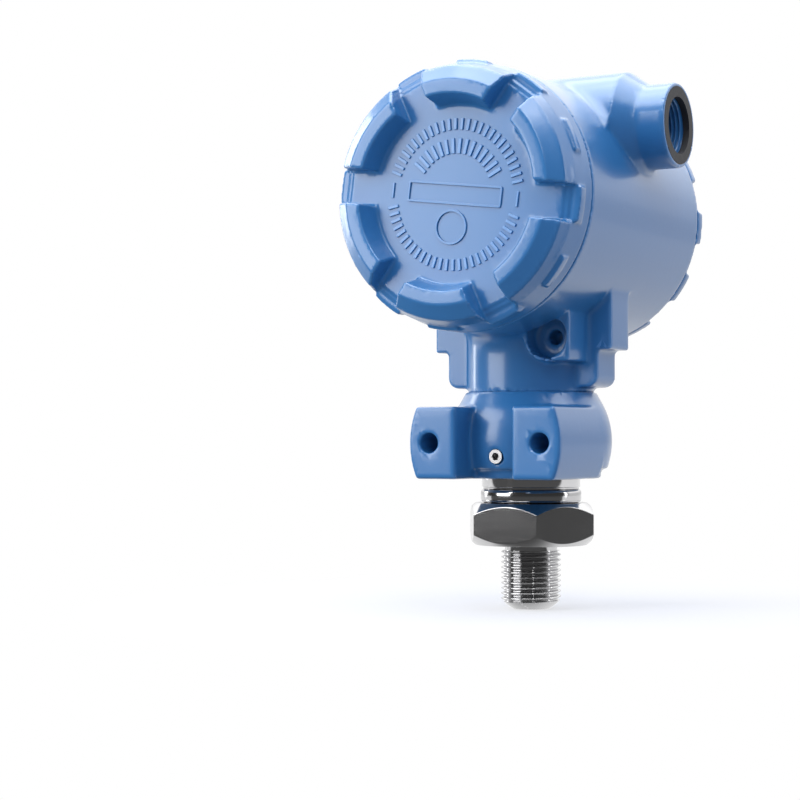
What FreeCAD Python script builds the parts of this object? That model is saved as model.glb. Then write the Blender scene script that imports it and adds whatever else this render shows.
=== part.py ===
"""Pressure transmitter in an in-line housing, with two screwed covers and a threaded process connection.

The frame: +Z up the process axis, origin where the full process thread starts, front cover toward -Y,
conduit entries along X. All sizes are in millimetres and stand in the sheet below.
"""
import FreeCAD, Part
import os
import re
import Sketcher

SIZES = [
    # Process connection, turned from one bar
    ("thread_radius", 10.4775), ("thread_length", 17.0), ("tip_height", 3.3), ("tip_radius", 6.6),
    ("undercut_radius", 9.2), ("undercut_width", 2.0),
    ("hex_flats", 41.6), ("hex_height", 14.7), ("hex_land_radius", 19.6), ("hex_chamfer_angle", 41.0),
    ("stem_radius", 17.6), ("stem_height", 4.9), ("stem_rounding", 1.4),
    ("stem_groove_depth", 0.8), ("stem_groove_width", 0.7),
    ("stem_ring_radius", 17.2), ("stem_ring_height", 3.0),
    ("spigot_radius", 15.0), ("spigot_length", 11.0), ("pressure_bore_radius", 3.0),
    ("chamber_radius", 10.5), ("chamber_depth", 2.2),
    # Sensor inside the adapter
    ("diaphragm_thickness", 0.5), ("capsule_radius", 13.0), ("capsule_height", 9.0),
    ("header_radius", 8.0), ("header_height", 3.5), ("header_flange", 1.2),
    ("pin_radius", 0.45), ("pin_length", 11.0), ("pin_ring_radius", 4.6), ("pin_count", 6),
    # Adapter body
    ("barrel_radius", 28.3), ("barrel_end_radius", 25.7), ("barrel_height", 24.6),
    ("rim_radius", 24.4), ("rim_height", 3.6), ("rim_chamfer", 0.8), ("foot_inset", 1.6),
    ("shoulder_radius", 22.8), ("shoulder_height", 5.3),
    ("lug_reach", 37.5), ("lug_gap", 21.0), ("lug_rounding", 1.2),
    ("bracket_spacing", 41.3), ("bracket_hole_radius", 3.4), ("bracket_hole_depth", 15.0),
    ("swivel_radius", 17.0), ("swivel_length", 14.5), ("swivel_bore_radius", 11.5), ("swivel_chamfer", 0.8),
    ("swivel_clearance", 0.06), ("swivel_headroom", 0.4),
    ("lock_groove_depth", 1.6), ("lock_groove_width", 4.8), ("lock_groove_rise", 5.0),
    ("neck_groove_depth", 2.34), ("neck_groove_width", 2.6), ("neck_seal_rise", 11.2),
    ("seal_clearance", 0.1),
    ("retainer_radius", 2.4), ("retainer_length", 12.9), ("retainer_rise", 7.7), ("retainer_socket", 1.2),
    ("fit_clearance", 0.05), ("header_clearance", 0.4),
    # Housing
    ("axis_height", 135.3), ("drum_radius", 44.3), ("drum_length", 94.0), ("drum_wall", 4.8),
    ("neck_radius", 22.0),
    ("boss_rise", 26.3), ("boss_radius", 19.3), ("boss_reach", 38.0),
    ("nozzle_start", 45.0), ("nozzle_radius", 14.3), ("entry_reach", 55.3), ("entry_thread_radius", 9.25),
    ("entry_thread_end", 6.0), ("entry_recess_radius", 13.2), ("entry_recess_depth", 2.4),
    ("partition_place", -14.0), ("partition_thickness", 4.0), ("shelf_drop", 20.0), ("shelf_reach", 20.0),
    ("side_step_upper", 33.8), ("side_step_lower", 28.8), ("side_width", 16.0),
    ("side_foot", 1.5), ("side_step_rise", 14.3), ("side_rounding", 4.0), ("side_root_drop", 27.5),
    ("ground_x", 16.8), ("ground_drop", 44.9), ("ground_boss_radius", 8.4), ("ground_reach", 23.8),
    ("ground_recess_radius", 7.2), ("ground_recess_depth", 7.5), ("ground_hole_radius", 2.5),
    ("ground_hole_depth", 7.0), ("ground_hole_chamfer", 0.6), ("ground_block_height", 16.4),
    # Covers
    ("cover_gap", 0.3), ("cover_radius", 44.3), ("cover_thickness", 4.2),
    ("front_face", 57.5), ("front_rim_radius", 42.7), ("rear_face", 53.5), ("rear_rim_radius", 40.3),
    ("cover_spigot_length", 12.0), ("cover_spigot_wall", 5.0), ("cover_thread_clearance", 0.1),
    ("grip_height", 8.0), ("grip_outer", 36.3), ("grip_inner", 31.8), ("grip_foot_inner", 29.2),
    ("grip_shoulder", 41.2), ("grip_shoulder_height", 3.6),
    ("wrench_slots", 3), ("wrench_slot_width", 11.5),
    ("step_radius", 38.8), ("step_drop", 0.5), ("notch_radius", 40.6), ("notch_drop", 1.2),
    ("block_count", 12), ("block_angle", 15.0), ("block_radius", 44.2), ("block_width", 3.6),
    ("front_block_start", 5.1), ("rear_block_start", 1.2),
    ("front_cover_turn", 7.2), ("rear_cover_turn", -3.9),
    ("cover_seal_section", 1.5), ("cover_seal_slack", 0.1),
    # Electronics in the front compartment
    ("cup_radius", 35.0), ("cup_depth", 15.0), ("cup_wall", 1.8), ("cup_cut", 25.0), ("potting_depth", 4.0),
    ("post_radius", 3.2), ("post_place", 27.0), ("post_count", 3),
    ("board_thickness", 1.6), ("board_radius", 34.0), ("board_cut", 24.0),
    ("socket_width", 18.0), ("socket_depth", 6.0), ("socket_height", 7.5), ("socket_rise", 9.0),
    ("socket_wall", 1.2),
    # Terminals in the rear compartment
    ("plate_radius", 34.5), ("plate_top", 3.0), ("plate_bottom", 18.0), ("plate_depth", 6.0),
    ("rib_height", 8.0), ("rib_width", 2.0), ("rib_bottom", 13.0),
    ("terminal_pitch", 13.0), ("terminal_count", 4),
    ("clamp_width", 9.0), ("clamp_thickness", 1.2), ("terminal_drop", 5.0),
    ("block_screw_place", 30.2), ("block_screw_drop", 7.0), ("block_screw_length", 8.0),
    # Feed-through in the partition
    ("feed_radius", 5.0), ("feed_flange", 6.8), ("feed_flange_height", 1.5), ("feed_rise", 24.0),
    ("feed_pin_radius", 0.5), ("feed_pin_ring", 2.6), ("feed_pin_reach", 4.0), ("feed_pin_count", 3),
    # Screws
    ("screw_radius", 1.5), ("screw_head_radius", 2.9), ("screw_head_height", 2.0), ("screw_length", 4.6),
    ("board_screw_length", 6.0), ("slot_width", 0.8), ("slot_depth", 0.9), ("hole_bottom", 0.6),
    ("ground_screw_radius", 2.0), ("ground_head_radius", 3.9), ("ground_head_height", 2.6),
    ("ground_screw_length", 6.0), ("washer_radius", 4.4), ("washer_thickness", 0.8),
    ("pad_radius", 4.8), ("pad_height", 4.5), ("inner_ground_place", 24.0), ("inner_ground_rise", 12.0),
    # Neck lock screw, entry seal and blanking plug
    ("neck_screw_radius", 2.0), ("neck_screw_sink", 0.6), ("neck_screw_socket", 1.0),
    ("tip_clearance", 0.3),
    ("entry_seal_bore", 9.6), ("entry_seal_clearance", 0.1), ("entry_seal_sink", 0.2),
    ("plug_hex_flats", 24.0), ("plug_hex_height", 5.0),
    ("plug_collar_height", 2.0), ("plug_collar_radius", 13.2),
    ("plug_chamfer_angle", 30.0), ("plug_land_inset", 0.3),
    ("plug_length", 12.0), ("plug_seal_radius", 13.0), ("plug_seal_thickness", 1.4),
    # How far a cut starts or ends outside its piece, and how far a raised part stands in the metal under it
    ("overcut", 1.0), ("root_overlap", 0.5),
]

doc = FreeCAD.newDocument("pressure_transmitter")
sheet = doc.addObject("Spreadsheet::Sheet", "Sizes")
for row, (alias, number) in enumerate(SIZES, start=1):
    sheet.set(f"A{row}", alias)
    sheet.set(f"B{row}", str(number))
    sheet.setAlias(f"B{row}", alias)
doc.recompute()

ALIASES = re.compile(r"\b(" + "|".join(alias for alias, number in SIZES) + r")\b")
NODES = []


def bound(rule):
    """A rule in sheet names, written as the document's expression."""
    return ALIASES.sub(r"Sizes.\1", f"({rule})")


def value(rule):
    """The number that a rule gives now."""
    return float(sheet.evalExpression(bound(rule)))


# Repeated rules of the stack along Z, measured from the origin
HEX_BASE = "(thread_length + undercut_width)"
HEX_TOP = f"({HEX_BASE} + hex_height)"
BARREL_BASE = f"({HEX_TOP} + stem_height + stem_groove_width + stem_ring_height)"
BARREL_MIDDLE = f"({BARREL_BASE} + barrel_height / 2)"
BARREL_TOP = f"({BARREL_BASE} + barrel_height)"
NECK_SEAT = f"({BARREL_TOP} + shoulder_height)"
SWIVEL_TOP = f"({NECK_SEAT} + swivel_length)"
SPIGOT_TOP = f"({BARREL_BASE} + spigot_length)"
CAPSULE_BASE = f"({SPIGOT_TOP} + diaphragm_thickness)"
CAPSULE_TOP = f"({CAPSULE_BASE} + capsule_height)"
# The same for the housing, measured from the drum's axis
NECK_DROP = f"(axis_height - {NECK_SEAT})"
CAVITY = "(drum_radius - drum_wall)"
FRONT_WALL = "(0 - partition_place)"
REAR_WALL = "(partition_place + partition_thickness)"
COVER_SEAT = "(drum_length / 2 + cover_gap)"
COVER_SPIGOT = f"({CAVITY} - cover_thread_clearance)"
COVER_SEAL_FLOOR = f"({COVER_SPIGOT} - cover_seal_section * 2 - cover_seal_slack * 2)"
COVER_SEAL_SEAT = "(cover_seal_section * 2 + cover_seal_slack * 3)"
NECK_SEAL_FLOOR = "(swivel_radius - neck_groove_depth)"


def new_body(label, on_axis=False):
    """A piece of its own; on_axis puts its frame on the drum's axis."""
    body = doc.addObject("PartDesign::Body", label)
    body.Label = label
    if on_axis:
        body.setExpression("Placement.Base.z", bound("axis_height"))
    NODES.append(body)
    return body


def origin_plane(body, role):
    return [feature for feature in body.Origin.OriginFeatures if feature.Role == role][0]


def new_sketch(body, name, role, lift="0", shift=("0", "0")):
    """A sketch on one of the body's own planes; lift is along the plane's normal."""
    sketch = body.newObject("Sketcher::SketchObject", name)
    sketch.AttachmentSupport = [(origin_plane(body, role), "")]
    sketch.MapMode = "FlatFace"
    sketch.setExpression("AttachmentOffset.Base.x", bound(shift[0]))
    sketch.setExpression("AttachmentOffset.Base.y", bound(shift[1]))
    sketch.setExpression("AttachmentOffset.Base.z", bound(lift))
    return sketch


def pin_point(sketch, geometry, end, place):
    """Holds one sketch point at a place given by two rules."""
    for kind, axis, rule in (("DistanceX", -2, place[0]), ("DistanceY", -1, place[1])):
        if rule == "0":
            sketch.addConstraint(Sketcher.Constraint("PointOnObject", geometry, end, axis))
            continue
        held = sketch.addConstraint(Sketcher.Constraint(kind, -1, 1, geometry, end, value(rule)))
        sketch.setExpression(f"Constraints[{held}]", bound(rule))


def outline(sketch, corners):
    """A closed outline; a corner given as ("via", x, y) bends the run it stands on into an arc."""
    def vector(place):
        return FreeCAD.Vector(value(place[0]), value(place[1]), 0)

    runs = []
    stops = [index for index, corner in enumerate(corners) if corner[0] != "via"]
    for order, index in enumerate(stops):
        following = corners[stops[(order + 1) % len(stops)]]
        between = corners[(index + 1) % len(corners)]
        runs.append((corners[index], between[1:] if between[0] == "via" else None, following))
    starts = []
    for start, via, end in runs:
        if via is None:
            starts.append((sketch.addGeometry(Part.LineSegment(vector(start), vector(end)), False), 1, 2))
            continue
        arc = Part.Arc(vector(start), vector(via), vector(end))
        number = sketch.addGeometry(arc, False)
        forward = sketch.getPoint(number, 1).isEqual(vector(start), 1e-6)
        starts.append((number, 1, 2) if forward else (number, 2, 1))
        guide = sketch.addGeometry(Part.Point(vector(via)), True)
        pin_point(sketch, guide, 1, via)
        sketch.addConstraint(Sketcher.Constraint("PointOnObject", guide, 1, number))
    for order, (number, first, last) in enumerate(starts):
        following, entry, leave = starts[(order + 1) % len(starts)]
        sketch.addConstraint(Sketcher.Constraint("Coincident", number, last, following, entry))
        pin_point(sketch, number, first, runs[order][0])
    return sketch


def circle(sketch, radius, centre=("0", "0")):
    """A circle held by its centre and radius."""
    place = FreeCAD.Vector(value(centre[0]), value(centre[1]), 0)
    number = sketch.addGeometry(Part.Circle(place, FreeCAD.Vector(0, 0, 1), value(radius)), False)
    pin_point(sketch, number, 3, centre)
    held = sketch.addConstraint(Sketcher.Constraint("Radius", number, value(radius)))
    sketch.setExpression(f"Constraints[{held}]", bound(radius))
    return sketch


def box_outline(sketch, left, bottom, right, top):
    return outline(sketch, [(left, bottom), (right, bottom), (right, top), (left, top)])


def feature(body, kind, name, sketch, **settings):
    """A sketch-based feature; settings given as text are rules, the rest plain values."""
    made = body.newObject(f"PartDesign::{kind}", name)
    made.Profile = sketch
    for key, setting in settings.items():
        if isinstance(setting, str):
            made.setExpression(key, bound(setting))
        else:
            setattr(made, key, setting)
    sketch.Visibility = False
    doc.recompute()
    return made


def pad(body, name, sketch, length, **settings):
    return feature(body, "Pad", name, sketch, Length=length, **settings)


def pocket(body, name, sketch, length, **settings):
    """Cuts from the sketch against its normal, and tells if nothing was cut."""
    before = body.Shape.Volume
    made = feature(body, "Pocket", name, sketch, Length=length, **settings)
    if body.Shape.Volume > before - 1e-3:
        raise RuntimeError(f"{name} cuts nothing")
    return made


def revolve(body, name, sketch, axis, angle=None, cut=False):
    """Turns a sketch about one of its own axes, whole or by a rule in degrees about the middle."""
    settings = {"ReferenceAxis": (sketch, [axis])}
    if angle is not None:
        settings.update(Angle=angle, Midplane=True)
    return feature(body, "Groove" if cut else "Revolution", name, sketch, **settings)


def repeat_round(body, name, source, sketch, axis, count):
    """Copies a feature round one of a sketch's axes."""
    pattern = body.newObject("PartDesign::PolarPattern", name)
    pattern.Originals = [source]
    pattern.Axis = (sketch, [axis])
    pattern.Angle = 360
    pattern.setExpression("Occurrences", bound(count))
    body.Tip = pattern
    doc.recompute()
    return pattern


def repeat_along(body, name, source, sketch, run, count):
    """Copies a feature along a sketch's own x axis."""
    pattern = body.newObject("PartDesign::LinearPattern", name)
    pattern.Originals = [source]
    pattern.Direction = (sketch, ["H_Axis"])
    pattern.setExpression("Length", bound(run))
    pattern.setExpression("Occurrences", bound(count))
    body.Tip = pattern
    doc.recompute()
    return pattern


def round_edges(body, name, radius, wanted, kind="Fillet"):
    """Rounds or chamfers each edge of the body's last feature that wanted(edge) picks."""
    base = body.Tip
    picked = []
    for number, edge in enumerate(base.Shape.Edges, start=1):
        if edge.Length > 1e-4 and wanted(edge):
            picked.append(f"Edge{number}")
    if not picked:
        raise RuntimeError(f"{name} finds no edge")
    made = body.newObject(f"PartDesign::{kind}", name)
    made.Base = (base, picked)
    made.setExpression("Radius" if kind == "Fillet" else "Size", bound(radius))
    body.Tip = made
    doc.recompute()
    return made


def is_circle(edge, radius):
    return isinstance(edge.Curve, Part.Circle) and abs(edge.Curve.Radius - radius) < 1e-3


def hexagon(sketch, flats):
    """A hexagon with corners on the sketch's own x axis."""
    corner = f"({flats} / sqrt(3))"
    half = f"({flats} / sqrt(3) / 2)"
    side = f"({flats} / 2)"
    return outline(sketch, [(corner, "0"), (half, side), (f"-{half}", side), (f"-{corner}", "0"),
                            (f"-{half}", f"-{side}"), (half, f"-{side}")])


def make_process_connection():
    """Threaded end, hexagon, stem and the spigot that the sensor stands on, all one turned piece."""
    body = new_body("process_connection")
    groove_base = f"({HEX_TOP} + stem_height)"
    groove_top = f"({groove_base} + stem_groove_width)"
    groove_radius = "(stem_radius - stem_groove_depth)"
    chamber_base = f"({SPIGOT_TOP} - chamber_depth)"
    section = outline(new_sketch(body, "turned_section", "XZ_Plane"), [
        ("pressure_bore_radius", "-tip_height"), ("tip_radius", "-tip_height"),
        ("thread_radius", "0"), ("thread_radius", "thread_length"),
        ("undercut_radius", "thread_length"), ("undercut_radius", HEX_BASE),
        ("stem_radius - stem_rounding", HEX_BASE), ("stem_radius - stem_rounding", HEX_TOP),
        ("stem_radius", f"{HEX_TOP} + stem_rounding"), ("stem_radius", f"{groove_base} - stem_rounding"),
        ("stem_radius - stem_rounding", groove_base),
        (groove_radius, groove_base), (groove_radius, groove_top), ("stem_ring_radius", groove_top),
        ("stem_ring_radius", BARREL_BASE), ("spigot_radius", BARREL_BASE), ("spigot_radius", SPIGOT_TOP),
        ("chamber_radius", SPIGOT_TOP), ("pressure_bore_radius", chamber_base)])
    revolve(body, "turned", section, "V_Axis")
    hex_sketch = hexagon(new_sketch(body, "hex_outline", "XY_Plane", HEX_BASE), "hex_flats")
    pad(body, "hexagon", hex_sketch, "hex_height")
    bore = circle(new_sketch(body, "bore_outline", "XY_Plane", HEX_TOP), "pressure_bore_radius")
    pocket(body, "pressure_bore", bore, "hex_height + overcut")
    corner = "(hex_flats / sqrt(3) + overcut)"
    fall = f"(({corner} - hex_land_radius) * tan(hex_chamfer_angle))"
    lower = outline(new_sketch(body, "lower_chamfer_section", "XZ_Plane"), [
        ("hex_land_radius", HEX_BASE), (corner, HEX_BASE), (corner, f"{HEX_BASE} + {fall}")])
    revolve(body, "lower_chamfer", lower, "V_Axis", cut=True)
    upper = outline(new_sketch(body, "upper_chamfer_section", "XZ_Plane"), [
        ("hex_land_radius", HEX_TOP), (corner, f"{HEX_TOP} - {fall}"), (corner, HEX_TOP)])
    revolve(body, "upper_chamfer", upper, "V_Axis", cut=True)


def make_sensor():
    """The welded diaphragm, the filled capsule above it and its header with glass-sealed pins."""
    diaphragm = new_body("isolating_diaphragm")
    pad(diaphragm, "disc", circle(new_sketch(diaphragm, "edge", "XY_Plane", SPIGOT_TOP), "capsule_radius"),
        "diaphragm_thickness")
    capsule = new_body("sensor_capsule")
    pad(capsule, "can", circle(new_sketch(capsule, "can_edge", "XY_Plane", CAPSULE_BASE), "capsule_radius"),
        "capsule_height")
    oil = circle(new_sketch(capsule, "oil_edge", "XY_Plane", f"{CAPSULE_BASE} + capsule_height / 2"),
                 "capsule_radius / 2")
    pocket(capsule, "oil_chamber", oil, "capsule_height / 2")
    header = new_body("capsule_header")
    section = outline(new_sketch(header, "header_section", "XZ_Plane"), [
        ("0", CAPSULE_TOP), ("header_radius + header_flange", CAPSULE_TOP),
        ("header_radius + header_flange", f"{CAPSULE_TOP} + header_flange"),
        ("header_radius", f"{CAPSULE_TOP} + header_flange"),
        ("header_radius", f"{CAPSULE_TOP} + header_height"), ("0", f"{CAPSULE_TOP} + header_height")])
    revolve(header, "header", section, "V_Axis")
    holes = circle(new_sketch(header, "pin_hole", "XY_Plane", f"{CAPSULE_TOP} + header_height"),
                   "pin_radius", ("pin_ring_radius", "0"))
    first = pocket(header, "first_pin_hole", holes, "header_height")
    repeat_round(header, "pin_holes", first, holes, "N_Axis", "pin_count")
    count = int(value("pin_count"))
    pins = []
    for number in range(count):
        pin = doc.addObject("Part::Cylinder", f"header_pin_{number + 1}")
        pin.setExpression("Radius", bound("pin_radius"))
        pin.setExpression("Height", bound("pin_length"))
        turn = f"({number} * 360 / pin_count)"
        pin.setExpression("Placement.Base.x", bound(f"pin_ring_radius * cos({turn})"))
        pin.setExpression("Placement.Base.y", bound(f"pin_ring_radius * sin({turn})"))
        pin.setExpression("Placement.Base.z", bound(CAPSULE_TOP))
        pins.append(pin)
    group("header_pins", pins)


def group(label, members):
    """One node that holds like pieces as separate solids."""
    made = doc.addObject("Part::Compound", label)
    made.Label = label
    made.Links = members
    for member in members:
        member.Visibility = False
    NODES.append(made)
    return made


def make_adapter():
    """The barrel under the housing: two bracket lugs in front, the sensor's bore and the swivel neck."""
    body = new_body("adapter_body")
    rim_top = f"({BARREL_BASE} + rim_height)"
    groove = f"({NECK_SEAT} + lock_groove_rise)"
    groove_half = "(lock_groove_width / 2)"
    seal_half = "(neck_groove_width / 2)"
    seal = f"({NECK_SEAT} + neck_seal_rise)"
    sensor_bore = "(capsule_radius + fit_clearance)"
    ledge = f"({CAPSULE_TOP} + header_clearance)"
    section = outline(new_sketch(body, "turned_section", "XZ_Plane"), [
        ("0", BARREL_BASE), ("rim_radius", BARREL_BASE),
        ("rim_radius", f"{rim_top} - rim_chamfer"), ("barrel_radius - foot_inset", rim_top),
        ("via", "barrel_radius", BARREL_MIDDLE), ("barrel_end_radius", BARREL_TOP),
        ("shoulder_radius", NECK_SEAT), ("swivel_radius", NECK_SEAT),
        ("swivel_radius", f"{groove} - {groove_half}"),
        ("swivel_radius - lock_groove_depth", f"{groove} - {groove_half}"),
        ("swivel_radius - lock_groove_depth", f"{groove} + {groove_half}"),
        ("swivel_radius", f"{groove} + {groove_half}"),
        ("swivel_radius", f"{seal} - {seal_half}"), (NECK_SEAL_FLOOR, f"{seal} - {seal_half}"),
        (NECK_SEAL_FLOOR, f"{seal} + {seal_half}"), ("swivel_radius", f"{seal} + {seal_half}"),
        ("swivel_radius", f"{SWIVEL_TOP} - swivel_chamfer"), ("swivel_radius - swivel_chamfer", SWIVEL_TOP),
        ("0", SWIVEL_TOP)])
    revolve(body, "barrel", section, "V_Axis")
    for name, side in (("left", "-"), ("right", "")):
        sketch = new_sketch(body, f"{name}_lug_outline", "XZ_Plane", "lug_reach")
        near = f"{side}(lug_gap / 2)"
        far = f"{side}barrel_end_radius"
        outline(sketch, [(near, BARREL_BASE), (far, BARREL_BASE),
                         ("via", f"{side}barrel_radius", BARREL_MIDDLE),
                         (far, BARREL_TOP), (near, BARREL_TOP)])
        pad(body, f"{name}_lug", sketch, "lug_reach", Reversed=True)
    seat = "(spigot_radius + fit_clearance)"
    bore = outline(new_sketch(body, "bore_section", "XZ_Plane"), [
        ("0", BARREL_BASE), (seat, BARREL_BASE), (seat, SPIGOT_TOP), (sensor_bore, SPIGOT_TOP),
        (sensor_bore, ledge), ("swivel_bore_radius", ledge), ("swivel_bore_radius", SWIVEL_TOP),
        ("0", SWIVEL_TOP)])
    revolve(body, "sensor_bore", bore, "V_Axis", cut=True)
    front = value("lug_reach")
    round_edges(body, "lug_edges", "lug_rounding", lambda edge: edge.BoundBox.YMax < -front + 1e-3)
    for name, side in (("left", "-"), ("right", "")):
        sketch = circle(new_sketch(body, f"{name}_bracket_hole_outline", "XZ_Plane", "lug_reach"),
                        "bracket_hole_radius", (f"{side}(bracket_spacing / 2)", BARREL_MIDDLE))
        pocket(body, f"{name}_bracket_hole", sketch, "bracket_hole_depth")
    retainer = circle(new_sketch(body, "retainer_hole_outline", "XZ_Plane", "barrel_radius + overcut"),
                      "retainer_radius + fit_clearance", ("0", f"{BARREL_BASE} + retainer_rise"))
    pocket(body, "retainer_hole", retainer, "barrel_radius + overcut - spigot_radius")


def make_retaining_screw():
    """The grub screw with a hexagon socket that stops the process connection from turning."""
    body = new_body("retaining_screw")
    reach = "(spigot_radius + fit_clearance + retainer_length)"
    rise = f"({BARREL_BASE} + retainer_rise)"
    edge = circle(new_sketch(body, "shank_edge", "XZ_Plane", reach), "retainer_radius", ("0", rise))
    pad(body, "shank", edge, "retainer_length", Reversed=True)
    socket = new_sketch(body, "socket_outline", "XZ_Plane", reach, ("0", rise))
    pocket(body, "socket", hexagon(socket, "retainer_socket * 2"), "retainer_radius")


def make_ring(label, on_axis, plane, axis, section):
    """A round-section ring turned about one axis; section is (place along it, radius, section radius)."""
    body = new_body(label, on_axis)
    place, radius, thickness = section
    centre = (radius, place) if axis == "V_Axis" else (place, radius)
    revolve(body, "ring", circle(new_sketch(body, "ring_section", plane), thickness, centre), axis)
    return body


def make_seals():
    """The neck's ring in the swivel groove, and one ring behind each cover's flange."""
    make_ring("neck_seal", False, "XZ_Plane", "V_Axis",
              (f"{NECK_SEAT} + neck_seal_rise",
               f"{NECK_SEAL_FLOOR} + (neck_groove_depth + seal_clearance) / 2",
               "(neck_groove_depth - seal_clearance) / 2"))
    for label, side in (("front_cover_seal", "-"), ("rear_cover_seal", "")):
        make_ring(label, True, "YZ_Plane", "H_Axis",
                  (f"{side}({COVER_SEAT} - {COVER_SEAL_SEAT} / 2)",
                   f"{COVER_SEAL_FLOOR} + cover_seal_section + cover_seal_slack", "cover_seal_section"))


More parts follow.
